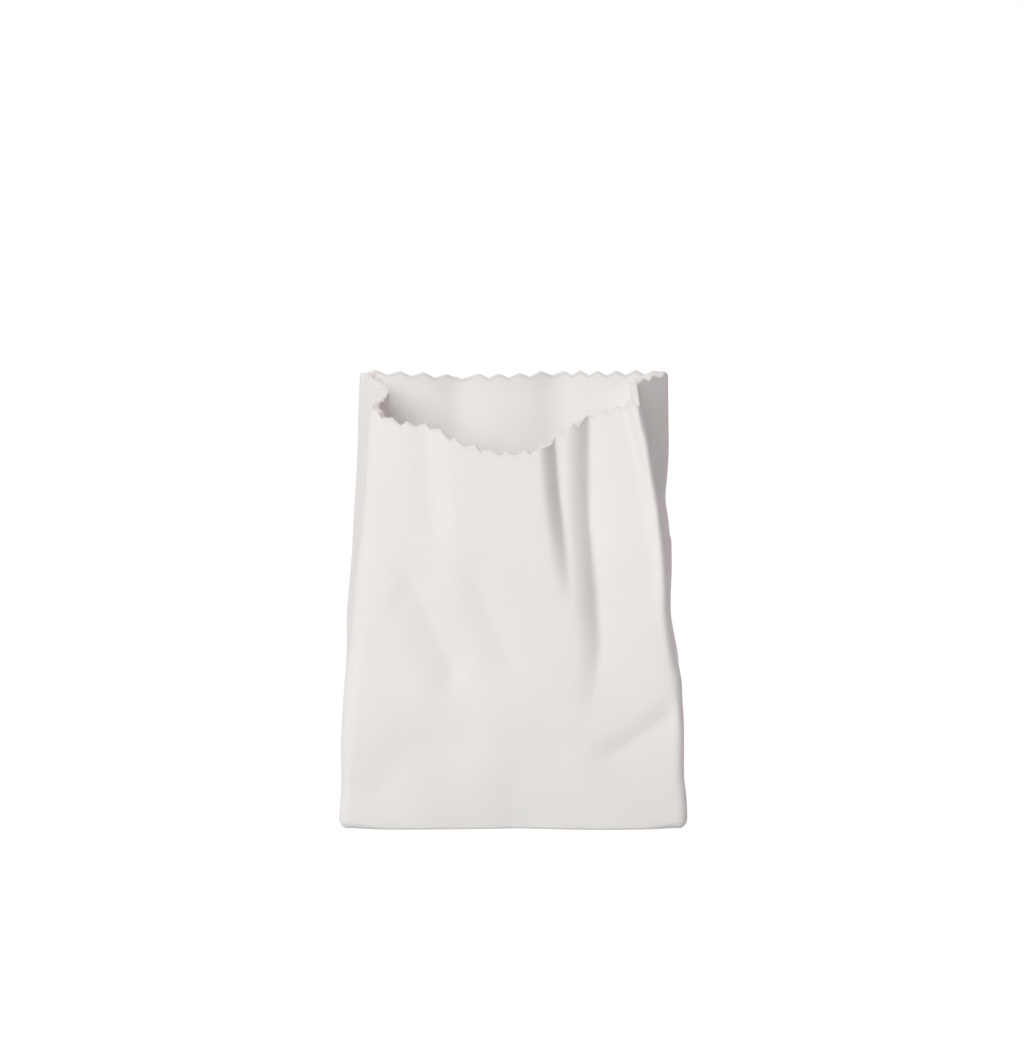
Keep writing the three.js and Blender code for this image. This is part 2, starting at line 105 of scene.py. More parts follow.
@dataclass(frozen=True)
class Crease:
    """A fold pressed into one panel, along a line across it as seen from outside.

    Attributes:
        path: Points of the line, as (across from the centre line, up from the foot).
        depth: Depth at the bottom of the fold; a ridge has a negative depth.
        left: Reach of the flank on the left of the line's own direction.
        right: Reach of the flank on its right.
        fade_in: Length over which the fold starts at the line's first point.
        fade_out: Length over which it ends at the line's last point.
        radius: Round at the bottom of the fold.
    """

    path: Points
    depth: float
    left: float
    right: float
    fade_in: float = 0.0
    fade_out: float = 0.0
    radius: float = 0.5

    def depth_at(self, across: Array, up: Array) -> Array:
        """Give the depth that the fold takes out of its panel.

        Args:
            across: Places across the panel.
            up: Heights of those places.

        Returns:
            The depth at each place.
        """
        away = np.full_like(across, np.inf)
        side = np.zeros_like(across)
        along = np.zeros_like(across)
        walked = 0.0
        for (ax, az), (bx, bz) in zip(self.path, self.path[1:]):
            length = math.hypot(bx - ax, bz - az)
            dx, dz = (bx - ax) / length, (bz - az) / length
            reach = np.clip((across - ax) * dx + (up - az) * dz, 0.0, length)
            ox, oz = across - ax - reach * dx, up - az - reach * dz
            distance = np.hypot(ox, oz)
            nearer = distance < away
            away = np.where(nearer, distance, away)
            side = np.where(nearer, dx * oz - dz * ox, side)
            along = np.where(nearer, walked + reach, along)
            walked += length
        flank_reach = np.where(side > 0, self.left, self.right)
        soft = np.hypot(away, self.radius) - self.radius
        flank = np.maximum(0.0, 1.0 - soft / flank_reach) ** 2
        ends = smooth_step(along, self.fade_in) * smooth_step(walked - along, self.fade_out)
        return self.depth * flank * ends


class Side(IntEnum):
    """The panels in order, anticlockwise from above, each from left to right seen from outside."""

    FRONT = 0
    RIGHT = 1
    BACK = 2
    LEFT = 3


@dataclass(frozen=True)
class Face:
    """One face of the wall: how round its corners are and how wide its folds are beyond the mould's own."""

    softening: float
    reach: float
    widen: bool


FRONT_CREASES = (
    # Two pleats that gather the lip, each a step down to the right
    Crease(
        ((9.3, 102), (9.6, 91), (10.6, 78), (12.3, 65), (13.9, 50)),
        4.3, 34, 3.6, fade_out=27, radius=0.4,
    ),
    Crease(
        ((17.6, 102), (17.5, 81), (17.7, 71), (19.1, 57), (20.1, 43.5), (19.3, 36.4), (17.8, 28.6), (16, 22)),
        4.2, 34, 5.2, fade_out=42, radius=0.5,
    ),
    # A soft valley and ridge from the left of the lip
    Crease(((-20.3, 102), (-19, 86), (-17.5, 70), (-16.5, 60)), 0.8, 4.5, 6, fade_out=22, radius=1),
    Crease(((-15.6, 102), (-13.2, 72), (-12.3, 57), (-10, 46)), -0.5, 14, 5, 0, 22, radius=2),
    # A long dent that slants down from the left, and two short level folds that deepen it
    Crease(
        ((-27, 68), (-23, 58), (-18.5, 48), (-14, 38), (-10.8, 30), (-9, 21)),
        1.5, 7, 8, 16, 28, radius=1,
    ),
    Crease(((-29, 55.5), (-25.4, 54), (-21.5, 52)), 0.45, 7, 16, 6, 6, radius=1.2),
    Crease(((-18, 40.3), (-13.5, 38.6), (-8.5, 37.4)), 0.65, 7.5, 20, 6, 6, radius=0.8),
    # A shorter dent beside it, the facet below both, and a faint fold on the right
    Crease(((-12, 66), (-8.5, 57.5), (-4.5, 48.5), (-1, 40.5), (2.2, 33)), 0.7, 6, 5, 14, 15, radius=0.8),
    Crease(((-11, 42.3), (-3, 38.7), (8, 33)), 0.2, 10, 8, 8, 8, radius=0.7),
    Crease(((30, 62), (22, 50)), 0.3, 7, 7, 6, 6, radius=3),
    # The arched crease above the foot, and the sharper one that meets the right corner
    Crease(((-34, 5), (-32.4, 8.3), (-23.5, 19), (-10.8, 20.6), (-2, 20)), 0.85, 12, 14, 6, 12, radius=1.3),
    Crease(((-8, 21.5), (0, 20.4), (8, 19.6), (20, 17.6)), 0.45, 9, 12, 8, 10, radius=1.3),
    Crease(((15, 15.5), (26, 19.7), (39.5, 29.5)), 1.0, 5, 14, 10, 2, radius=0.8),
    # Dents along the foot's front edge
    Crease(((-6, 16), (-2.5, 13), (0.3, 10.5), (0.2, 4), (0.2, -2)), 0.7, 18, 9, fade_in=9, radius=0.8),
    Crease(((-26, 0), (22, 0)), 0.65, 22, 22, 20, 20, radius=3),
)
RIGHT_CREASES = (
    Crease(((-18, 5), (2, 30)), 0.9, 7, 7, 6, 3, radius=1.5),
    Crease(((18, 5), (2, 30)), 0.9, 7, 7, 6, 3, radius=1.5),
    Crease(((20, 84), (12, 76), (4, 62)), 0.9, 6, 6, 3, 8, radius=1.5),
    Crease(((19, 62), (10, 50)), -0.7, 6, 6, 3, 6, radius=1.5),
)
BACK_CREASES = (
    Crease(((-35, 8), (-20, 19), (6, 21), (20, 18), (35, 9)), 0.9, 8, 7, 6, 6, radius=2.5),
    Crease(((26, 66), (14, 50), (9, 38)), 0.9, 7, 6, 7, 10, radius=2.5),
    Crease(((-30, 48), (-18, 36)), 0.7, 6, 6, 6, 6, radius=2.5),
)
LEFT_CREASES = (
    Crease(((-18, 5), (-1, 30)), 0.9, 7, 7, 6, 3, radius=1.5),
    Crease(((18, 5), (-1, 30)), 0.9, 7, 7, 6, 3, radius=1.5),
    Crease(((14, 66), (5, 52)), 0.7, 6, 6, 5, 6, radius=1.5),
)


@dataclass
class BagForm:
    """The folded form: places on the outer and inner face of the wall, by flat position u and height z.

    u runs round the bag at the foot from the front left corner, anticlockwise from above.
    """

    # Overall size, and how far the front and the back lean inwards
    height: float = 100.0
    base_width: float = 81.0
    base_depth: float = 48.0
    front_set_back: float = 10.0
    back_set_in: float = 2.5
    lean_start: float = 15.0
    lean_power: float = 1.3

    # Wall, floor and foot
    wall: float = 2.0
    rim_wall: float = 1.4
    rim_taper: float = 10.0
    floor: float = 3.0
    foot_radius: float = 0.8
    foot_corner_radius: float = 2.4
    foot_corner_reach: float = 12.0
    floor_radius: float = 4.0

    # Round of the corners, as (share of the height, half the length of wall it takes up)
    corner_softness: Points = ((0, 3), (0.2, 3.4), (0.4, 5), (0.55, 4.5), (0.8, 3.2), (1, 2.6))
    # Distance from a corner over which the creases fade out
    corner_clearance: float = 4.0

    # Gussets, each tucked in along an upright crease
    left_tuck: float = 4.9
    right_tuck: float = 5.9
    left_crease_share: float = 0.52
    right_crease_share: float = 0.69
    tuck_start: float = 28.0
    tuck_power: float = 1.2

    # Bulge of the front, with its shape as (share across, share of the bulge)
    foot_belly: float = 0.5
    rim_belly: float = 5.5
    belly: Points = (
        (0, 0), (0.06, 0.28), (0.15, 0.52), (0.3, 0.78), (0.45, 0.96), (0.55, 1.02),
        (0.65, 1.02), (0.72, 0.93), (0.78, 0.82), (0.85, 0.61), (0.92, 0.37), (1, 0),
    )

    # Upright flutes of the back
    flute_swell: float = 0.9
    flute_height: float = 1.4
    flute_length: float = 26.0
    flute_crest: float = 14.0
    flute_start: float = 45.0

    # Teeth of the rim, with the tips on the back as shares across it
    tooth_pitch: float = 4.7
    tooth_height: float = 1.2
    tooth_variety: float = 0.2
    tooth_sway: float = 0.25
    sway_step: float = 2.1
    variety_step: float = 1.3
    back_tips: tuple[float, ...] = (
        0.055, 0.115, 0.177, 0.236, 0.29, 0.344, 0.417, 0.485, 0.551, 0.613, 0.718, 0.791, 0.864, 0.944,
    )

    # How far each corner stands inside the foot's width, as (share of the height, distance).
    # A scratch script fitted the distances to the photograph's outline.
    front_left_narrowing: Points = (
        (0, 0), (0.1, 0.75), (0.2, 0.81), (0.3, 1.38), (0.37, 2), (0.43, 2.9), (0.5, 3.4), (0.58, 4.1),
        (0.65, 4.9), (0.71, 5.7), (0.93, 7.3), (1, 7.9),
    )
    front_right_narrowing: Points = (
        (0, 0), (0.07, 0.32), (0.12, 0.93), (0.18, 1), (0.24, 1.04), (0.3, 1.41), (0.35, 1.66),
        (0.39, 2.7), (0.44, 3.6), (0.5, 4.5), (0.57, 4.81), (0.65, 5.5), (0.7, 6.17), (0.75, 6.87),
        (0.8, 7.9), (0.86, 8.92), (0.9, 9.62), (0.94, 10.79), (1, 11.78),
    )
    back_right_narrowing: Points = (
        (0, 0), (0.12, 0.3), (0.2, 0.5), (0.26, 0.7), (0.31, 0.87), (0.36, 1.74), (0.41, 2.42),
        (0.46, 2.3), (0.52, 2), (0.58, 2.3), (0.64, 2.83), (0.69, 3.53), (0.74, 3.13), (0.8, 2.79),
        (0.88, 2.93), (1, 3.13),
    )
    back_left_narrowing: Points = (
        (0, 0), (0.1, 0.4), (0.25, 0.45), (0.35, 0.54), (0.41, 0.46), (0.48, 0.96), (0.56, 1.69),
        (0.62, 1.95), (0.68, 2.33), (0.73, 2.61), (0.8, 3.05), (0.88, 3.31), (1, 3.83),
    )

    # Drop of the tooth roots below the highest ones, as (share across the panel, drop)
    front_rim: Points = (
        (0, 2), (0.1, 4.9), (0.22, 5.7), (0.3, 8.1), (0.4, 10.5), (0.5, 11.5),
        (0.6, 10.9), (0.65, 9.5), (0.7, 7.45), (0.76, 5.6), (0.85, 3.65), (1, 1.2),
    )
    right_rim: Points = ((0, 1.2), (1, 0.1))
    back_rim: Points = (
        (0, 0.1), (0.2, 0), (0.35, 0.3), (0.48, 0.4), (0.57, 0.7),
        (0.67, 1.2), (0.77, 0.6), (0.88, 0), (1, 0.2),
    )
    left_rim: Points = ((0, 0.2), (1, 2))

    # Faces of the wall, and the shares of their reach at which the folds are averaged
    outside: Face = Face(softening=0.0, reach=0.5, widen=False)
    inside: Face = Face(softening=5.5, reach=2.6, widen=True)
    taps: tuple[float, ...] = (-1, -0.75, -0.5, -0.25, 0, 0.25, 0.5, 0.75, 1)

    def __post_init__(self) -> None:
        """Work out the panels' flat places and the curves of the corners and the rim."""
        self.widths = np.array([self.base_width, self.base_depth, self.base_width, self.base_depth])
        self.starts = np.concatenate([[0.0], np.cumsum(self.widths)[:-1]])
        self.girth = float(self.widths.sum())
        self.along = np.array([(1.0, 0.0), (0.0, 1.0), (-1.0, 0.0), (0.0, -1.0)])
        self.out = np.stack([self.along[:, 1], -self.along[:, 0]], axis=1)
        self.creases = (FRONT_CREASES, RIGHT_CREASES, BACK_CREASES, LEFT_CREASES)
        self.belly_share = curve_through(self.belly)
        self.softness = curve_through(self.corner_softness)
        rims = (self.front_rim, self.right_rim, self.back_rim, self.left_rim)
        self.drops = [curve_through(rim) for rim in rims]
        lines = (
            self.front_left_narrowing, self.front_right_narrowing,
            self.back_right_narrowing, self.back_left_narrowing,
        )
        self.narrowings = [curve_through(line) for line in lines]
        self.teeth = np.round(self.widths / self.tooth_pitch).astype(int)

    def share(self, z: Array, start: float) -> Array:
        """Give how far z has gone from a starting height to the full height, from 0 to 1."""
        return np.clip((z - start) / (self.height - start), 0.0, 1.0)

    def lean(self, z: Array) -> Array:
        """Give the share of the corners' full lean at height z."""
        return self.share(z, self.lean_start) ** self.lean_power

    def locate(self, u: Array) -> tuple[Array, Array]:
        """Give the panel and the share across it at flat position u."""
        wrapped = np.mod(u, self.girth)
        index = np.searchsorted(self.starts, wrapped, side="right") - 1
        return index, (wrapped - self.starts[index]) / self.widths[index]

    def corner(self, index: int, z: Array) -> Array:
        """Give a corner of the sharp outline, counted from the front left one, as (x, y) rows."""
        front = index in (0, 1)
        side = 1.0 if index in (1, 2) else -1.0
        x = side * (self.base_width / 2 - self.narrowings[index](z / self.height))
        set_in = (self.front_set_back if front else self.back_set_in) * self.lean(z)
        y = (self.base_depth / 2 - set_in) * (-1.0 if front else 1.0)
        return np.stack([x, y], axis=-1)

    def ends(self, index: Array, z: Array) -> tuple[Array, Array]:
        """Give both ends of the sharp outline of the panels in index at heights z."""
        corners = np.stack([self.corner(i, z) for i in range(4)])
        rows = np.arange(len(z))
        return corners[index, rows], corners[(index + 1) % 4, rows]

    def shape(self, panel: Side, s: Array, z: Array) -> Array:
        """Give the depth of a panel's own large form below its flat plane.

        Args:
            panel: The panel.
            s: Shares across it.
            z: Heights.

        Returns:
            The depth at each place, positive into the bag.
        """
        if panel is Side.FRONT:
            return -blend(self.foot_belly, self.rim_belly, self.lean(z)) * self.belly_share(s)
        if panel is Side.BACK:
            swell = np.sin(np.pi * s) ** self.flute_swell
            across = (s - 0.5) * self.base_width
            wave = np.cos(2 * np.pi * (across - self.flute_crest) / self.flute_length)
            return -self.flute_height * self.share(z, self.flute_start) * wave * swell
        right = panel is Side.RIGHT
        depth = self.right_tuck if right else self.left_tuck
        crease = self.right_crease_share if right else self.left_crease_share
        tent = np.where(s < crease, s / crease, (1 - s) / (1 - crease))
        return depth * self.share(z, self.tuck_start) ** self.tuck_power * tent

    def depth(self, index: Array, s: Array, z: Array) -> Array:
        """Give the depth of the panels' shapes and creases below their flat planes, positive into the bag."""
        s = np.clip(s, 0.0, 1.0)
        total = np.zeros_like(s)
        start, end = self.ends(index, z)
        place = start + (end - start) * s[:, None]
        edge = np.minimum(s, 1 - s) * np.linalg.norm(end - start, axis=1)
        clear = smooth_step(edge, self.corner_clearance)
        for panel in Side:
            here = index == panel
            if not here.any():
                continue
            across = place[here] @ self.along[panel]
            pressed = sum(crease.depth_at(across, z[here]) for crease in self.creases[panel])
            total[here] = self.shape(panel, s[here], z[here]) + clear[here] * pressed
        return total

    def outline(self, u: Array, z: Array, face: Face) -> tuple[Array, Array]:
        """Give the flat outline with rounded corners, as the average of the sharp one over a length of wall.

        The direction is an average too, shorter than one in a corner, so a face can be set in further there
        before it folds over.

        Args:
            u: Flat positions.
            z: Heights.
            face: The face of the wall.

        Returns:
            The places, and the directions along the outline, as rows of x and y.
        """
        panel, s = self.locate(u)
        first = s < 0.5
        index = np.where(first, panel, (panel + 1) % 4)
        previous = (index + 3) % 4
        corners = np.stack([self.corner(i, z) for i in range(4)])
        rows = np.arange(len(z))
        corner = corners[index, rows]
        before = (corner - corners[previous, rows]) / self.widths[previous][:, None]
        after = (corners[(index + 1) % 4, rows] - corner) / self.widths[index][:, None]
        past = np.where(first, s, s - 1) * self.widths[panel]
        reach = self.softness(z / self.height) + face.softening
        behind = np.clip((reach - past) / 2, 0, reach)
        ahead = reach - behind
        from_before = np.minimum(past + reach, 0) - behind**2 / reach
        from_after = np.maximum(past - reach, 0) + ahead**2 / reach
        place = corner + before * from_before[:, None] + after * from_after[:, None]
        before /= np.linalg.norm(before, axis=1)[:, None]
        after /= np.linalg.norm(after, axis=1)[:, None]
        return place, before * (behind / reach)[:, None] + after * (ahead / reach)[:, None]

    def relief(self, u: Array, z: Array, face: Face) -> Array:
        """Give the move of the wall out of its flat planes, averaged over the reach of the face's folds."""
        total = np.zeros((len(u), 2))
        for tap in self.taps:
            index, s = self.locate(u + tap * face.reach)
            shifts = self.taps if face.widen else (0.0,)
            step = face.reach / self.widths[index]
            deepest = np.max([self.depth(index, s + shift * step, z) for shift in shifts], axis=0)
            total -= self.out[index] * deepest[:, None]
        return total / len(self.taps)

    def point(self, u: Array, z: Array, inset: Array, face: Face) -> Array:
        """Give places of the wall.

        Args:
            u: Flat positions.
            z: Heights.
            inset: Distances inwards from the face.
            face: The face that the places are measured from.

        Returns:
            The places, with x, y and z on a last axis.
        """
        shape = np.broadcast_shapes(u.shape, z.shape, inset.shape)
        u, z, inset = (np.broadcast_to(values, shape).ravel() for values in (u, z, inset))
        place, along = self.outline(u, z, face)
        inward = np.stack([-along[:, 1], along[:, 0]], axis=1)
        flat = place + self.relief(u, z, face) + inward * inset[:, None]
        return np.column_stack([flat, z]).reshape(*shape, 3)

    def root_height(self, u: Array) -> Array:
        """Give the height of the tooth roots at flat position u."""
        index, s = self.locate(u)
        drop = np.zeros_like(s)
        for panel in Side:
            here = index == panel
            drop[here] = self.drops[panel](s[here])
        return self.height - self.tooth_height - drop

    def thickness(self, u: Array, z: Array) -> Array:
        """Give the thickness of the wall at flat position u and height z, which is less near the rim."""
        return blend(self.rim_wall, self.wall, smooth_step(self.root_height(u) - z, self.rim_taper))

    def foot_round(self, u: Array) -> Array:
        """Give the radius of the foot's edge at flat position u, which is larger at the corners."""
        index, s = self.locate(u)
        away = np.minimum(s, 1 - s) * self.widths[index]
        return blend(self.foot_corner_radius, self.foot_radius, smooth_step(away, self.foot_corner_reach))

    def tooth_shares(self, panel: Side) -> list[float]:
        """Give the shares across a panel of its tooth roots and tips in turn, from the root at its start."""
        if panel is Side.BACK:
            shares = [0.0]
            for tip, following in zip(self.back_tips, self.back_tips[1:] + (1.0,)):
                shares += [tip, (tip + following) / 2]
            return shares[:-1]
        count = 2 * int(self.teeth[panel])
        sways = [self.tooth_sway * math.sin(self.sway_step * i + panel) for i in range(count)]
        return [0.0] + [(i + sways[i]) / count for i in range(1, count)]

    def rim_stations(self) -> tuple[Array, Array]:
        """Give the flat positions of all tooth roots and tips, and how far each rises over the roots."""
        places: list[float] = []
        rises: list[float] = []
        for panel in Side:
            for i, share in enumerate(self.tooth_shares(panel)):
                places.append(self.starts[panel] + share * self.widths[panel])
                variety = 1 - self.tooth_variety * (0.5 + 0.5 * math.sin(self.variety_step * i))
                rises.append(self.tooth_height * variety if i % 2 else 0.0)
        return np.array(places), np.array(rises)


def loft(name: str, rings: Array, marks: dict[str, Array]) -> bpy.types.Object:
    """Make a closed mesh from a grid whose rows become rings round the vase.

    Args:
        name: Name of the new object.
        rings: Places in millimetres, by ring, column and axis; the last column meets the first.
        marks: Vertex attributes for the finish, each with its amount by ring and column.

    Returns:
        The object, with both end rings filled and its faces pointing outwards.
    """
    rows, columns = rings.shape[:2]
    mesh = bmesh.new()
    layers = {mark: mesh.verts.layers.float.new(mark) for mark in marks}
    bmesh.ops.create_grid(mesh, x_segments=columns, y_segments=rows - 1, size=0.5)
    closed = np.concatenate([rings, rings[:, :1]], axis=1) * MM
    for vertex in mesh.verts:
        column = round((vertex.co.x + 0.5) * columns)
        row = round((vertex.co.y + 0.5) * (rows - 1))
        vertex.co = closed[row, column]
        for mark, layer in layers.items():
            vertex[layer] = marks[mark][row, column % columns]
    bmesh.ops.remove_doubles(mesh, verts=mesh.verts[:], dist=MERGE_DISTANCE)
    bmesh.ops.holes_fill(mesh, edges=[edge for edge in mesh.edges if edge.is_boundary], sides=0)
    bmesh.ops.recalc_face_normals(mesh, faces=mesh.faces[:])
    for face in mesh.faces:
        face.smooth = True
    for edge in mesh.edges:
        edge.smooth = edge.calc_face_angle(0.0) < SHARP
    data = bpy.data.meshes.new(name)
    mesh.to_mesh(data)
    mesh.free()
    piece = bpy.data.objects.new(name, data)
    bpy.context.scene.collection.objects.link(piece)
    return piece


@dataclass
class PorcelainBody:
    """The one-piece porcelain wall and base, with a rounded edge along the pinked rim."""

    form: BagForm
    columns_per_flank: int = 4
    outer_rows: int = 96
    inner_rows: int = 56
    tooth_rows: int = 8
    round_steps: int = 6
    skin: float = 0.08
    edge_radius: float = 0.45
    tooth_band: float = 3.0
    edge_band: float = 0.8

    def columns(self) -> tuple[Array, Array]:
        """Give the flat positions of the mesh's columns, with the rim's rise over the tooth roots at each."""
        places, rises = self.form.rim_stations()
        next_places = np.append(places[1:], self.form.girth)
        next_rises = np.append(rises[1:], rises[0])
        steps = np.arange(self.columns_per_flank) / self.columns_per_flank
        u = places[:, None] + (next_places - places)[:, None] * steps
        rise = rises[:, None] + (next_rises - rises)[:, None] * steps
        return u.ravel(), rise.ravel()

    def build(self) -> bpy.types.Object:
        """Build the body from under its foot, up the outside, over the rim and down to the floor inside.

        Returns:
            The porcelain body.
        """
        form = self.form
        u, rise = self.columns()
        rim = form.root_height(u) + rise - self.skin
        band = form.root_height(u) - self.tooth_band
        edge = self.edge_radius
        quarter = np.linspace(0, math.pi / 2, self.round_steps + 1)
        even = np.ones_like(u)

        outer: list[tuple[Array, Array]] = []
        foot = form.foot_round(u)
        for angle in quarter:
            outer.append((foot * (1 - math.cos(angle)), foot * (1 - math.sin(angle))))
        for t in np.linspace(0, 1, self.outer_rows + 1)[1:]:
            outer.append((blend(foot, band, t), 0 * even))
        for t in np.linspace(0, 1, self.tooth_rows + 1)[1:]:
            outer.append((blend(band, rim - edge, t), 0 * even))
        for angle in quarter[1:]:
            outer.append((rim - edge * (1 - math.sin(angle)), edge * (1 - math.cos(angle)) * even))

        inner: list[tuple[Array, Array]] = []
        top = form.floor + form.floor_radius
        low = form.floor_radius
        for angle in quarter:
            height = form.floor + low * (1 - math.cos(angle))
            inner.append((height * even, low * (1 - math.sin(angle)) * even))
        for t in np.linspace(0, 1, self.inner_rows + 1)[1:]:
            inner.append((blend(top, band, t), 0 * even))
        for t in np.linspace(0, 1, self.tooth_rows + 1)[1:]:
            inner.append((blend(band, rim - edge, t), 0 * even))
        for angle in quarter[1:]:
            inner.append((rim - edge * (1 - math.sin(angle)), -edge * (1 - math.cos(angle)) * even))

        outer_z, inset = np.array(outer).swapaxes(0, 1)
        outside = form.point(u, outer_z, self.skin + inset, form.outside)
        inner_z, inset = np.array(inner)[::-1].swapaxes(0, 1)
        inside = form.point(u, inner_z, form.thickness(u, inner_z) + inset, form.inside)
        below = rim - np.concatenate([outer_z, inner_z])
        within = np.concatenate([np.zeros_like(outer_z), np.ones_like(inner_z)])
        away = smooth_step(below, self.edge_band)
        # The edge mark carries wear and painted shade along the rim, and the inside mark carries the inside
        # face's painted light
        marks = {"edge": 1 - away, "inside": within * away}
        return loft("porcelain_body", np.concatenate([outside, inside]), marks)


@dataclass
class GlazeLining:
    """The glaze inside, which thins out to a film at a wavering line below the rim."""

    form: BagForm
    columns: int = 260
    rows: int = 64
    round_steps: int = 6
    clearance: float = 0.03
    thickness: float = 0.42
    edge_thickness: float = 0.04
    taper: float = 14.0
    bare_rim: float = 4.0
    waver: float = 0.7
    slow_waves: int = 5
    slow_shift: float = 0.4
    quick_waves: int = 11
    quick_share: float = 0.6

    def build(self) -> bpy.types.Object:
        """Build the lining as a thin closed cup against the porcelain.

        Returns:
            The glaze lining.
        """
        form = self.form
        u = np.arange(self.columns) / self.columns * form.girth
        turn = 2 * np.pi * u / form.girth
        wave = np.sin(self.slow_waves * turn + self.slow_shift)
        wave += self.quick_share * np.sin(self.quick_waves * turn)
        edge = form.root_height(u) - self.bare_rim - np.abs(self.waver * wave)
        quarter = np.linspace(0, math.pi / 2, self.round_steps + 1)
        even = np.ones_like(u)

        def skin(thick: bool) -> tuple[Array, Array]:
            """Give the rings of one side of the lining, from the floor up, and how full its coat is there."""
            rows: list[tuple[Array, Array]] = []
            depth = self.clearance + (self.thickness if thick else 0.0)
            low = form.floor_radius - depth
            floor = form.floor + depth
            for angle in quarter:
                z = floor + low * (1 - math.cos(angle)) * even
                rows.append((z, depth + low * (1 - math.sin(angle)) * even))
            for t in np.linspace(0, 1, self.rows + 1)[1:]:
                z = blend(floor + low, edge, t)
                thin = smooth_step(edge - z, self.taper)
                coat = blend(self.edge_thickness, self.thickness, thin) if thick else 0.0
                rows.append((z, self.clearance + coat * even))
            heights, insets = np.array(rows).swapaxes(0, 1)
            insets = insets + form.thickness(u, heights)
            return form.point(u, heights, insets, form.inside), smooth_step(edge - heights, self.taper)

        (back, back_coat), (front, front_coat) = skin(False), skin(True)
        rings = np.concatenate([back, front[::-1]])
        return loft("glaze_skin", rings, {"coat": np.concatenate([back_coat, front_coat[::-1]])})


class Value:
    """A shader socket that takes part in Python arithmetic: each operation adds a Math node."""

    def __init__(self, graph: ShaderGraph, socket: bpy.types.NodeSocket) -> None:
        """Wrap a socket of a graph."""
        self.graph = graph
        self.socket = socket

    def _math(self, operation: str, first: Any, second: Any) -> Value:
        """Add a Math node on two operands."""
        node = self.graph.node("ShaderNodeMath", {"operation": operation}, {0: first, 1: second})
        return Value(self.graph, node.outputs[0])

    def __add__(self, other: Any) -> Value:
        """Add."""
        return self._math("ADD", self, other)

    def __radd__(self, other: Any) -> Value:
        """Add, from the right."""
        return self._math("ADD", other, self)

    def __sub__(self, other: Any) -> Value:
        """Subtract."""
        return self._math("SUBTRACT", self, other)

    def __rsub__(self, other: Any) -> Value:
        """Subtract, from the right."""
        return self._math("SUBTRACT", other, self)

    def __mul__(self, other: Any) -> Value:
        """Multiply."""
        return self._math("MULTIPLY", self, other)

    def __rmul__(self, other: Any) -> Value:
        """Multiply, from the right."""
        return self._math("MULTIPLY", other, self)

    def ramp(self, low: float, high: float) -> Value:
        """Rise smoothly from 0 to 1 as the value goes from low to high."""
        node = self.graph.node(
            "ShaderNodeMapRange",
            {"interpolation_type": "SMOOTHSTEP"},
            {"Value": self, "From Min": low, "From Max": high},
        )
        return Value(self.graph, node.outputs[0])


class ShaderGraph:
    """The node tree of one material or world."""

    def __init__(
        self, owner: bpy.types.Material | bpy.types.World, output: str = "ShaderNodeOutputMaterial"
    ) -> None:
        """Start the owner's tree with nothing but its output node."""
        owner.use_nodes = True
        self.tree = owner.node_tree
        self.tree.nodes.clear()
        self.output = self.node(output)

    def node(
        self, kind: str, settings: dict[str, Any] | None = None, inputs: dict[int | str, Any] | None = None
    ) -> bpy.types.Node:
        """Add a node.

        Args:
            kind: Type of the node.
            settings: Its own settings, which are set first.
            inputs: Values or links of its sockets, by index, name or identifier.

        Returns:
            The node.
        """
        node = self.tree.nodes.new(kind)
        for key, setting in (settings or {}).items():
            setattr(node, key, setting)
        for key, value in (inputs or {}).items():
            socket = node.inputs[key] if isinstance(key, int) else self.find(node, key)
            if isinstance(value, Value):
                value = value.socket
            if isinstance(value, bpy.types.NodeSocket):
                self.tree.links.new(value, socket)
            else:
                socket.default_value = value
        return node

    @staticmethod
    def find(node: bpy.types.Node, key: str) -> bpy.types.NodeSocket:
        """Find a node's input by its identifier or its name."""
        return next(socket for socket in node.inputs if key in (socket.identifier, socket.name))

    def value(self, node: bpy.types.Node, output: int | str = 0) -> Value:
        """Take an output of a node as a value."""
        return Value(self, node.outputs[output])

    def noise(self, scale: float, detail: float = 2.0, roughness: float = 0.5) -> Value:
        """Add noise on Object coordinates, with about this many grains to the metre."""
        place = self.node("ShaderNodeTexCoord").outputs["Object"]
        inputs = {"Vector": place, "Scale": scale, "Detail": detail, "Roughness": roughness}
        return self.value(self.node("ShaderNodeTexNoise", inputs=inputs))

    def mark(self, name: str) -> Value:
        """Read a vertex attribute of the piece."""
        return self.value(self.node("ShaderNodeAttribute", {"attribute_name": name}), "Fac")

    def mix(self, factor: Value, first: Any, second: Any) -> bpy.types.NodeSocket:
        """Mix from a first colour to a second by a factor."""
        opaque = [(*c, 1.0) if isinstance(c, tuple) else c for c in (first, second)]
        node = self.node(
            "ShaderNodeMix",
            {"data_type": "RGBA"},
            {"Factor_Float": factor, "A_Color": opaque[0], "B_Color": opaque[1]},
        )
        return next(socket for socket in node.outputs if socket.identifier == "Result_Color")

    def surface(self, shader: bpy.types.Node) -> None:
        """Join a shader to the output."""
        self.tree.links.new(shader.outputs[0], self.output.inputs["Surface"])


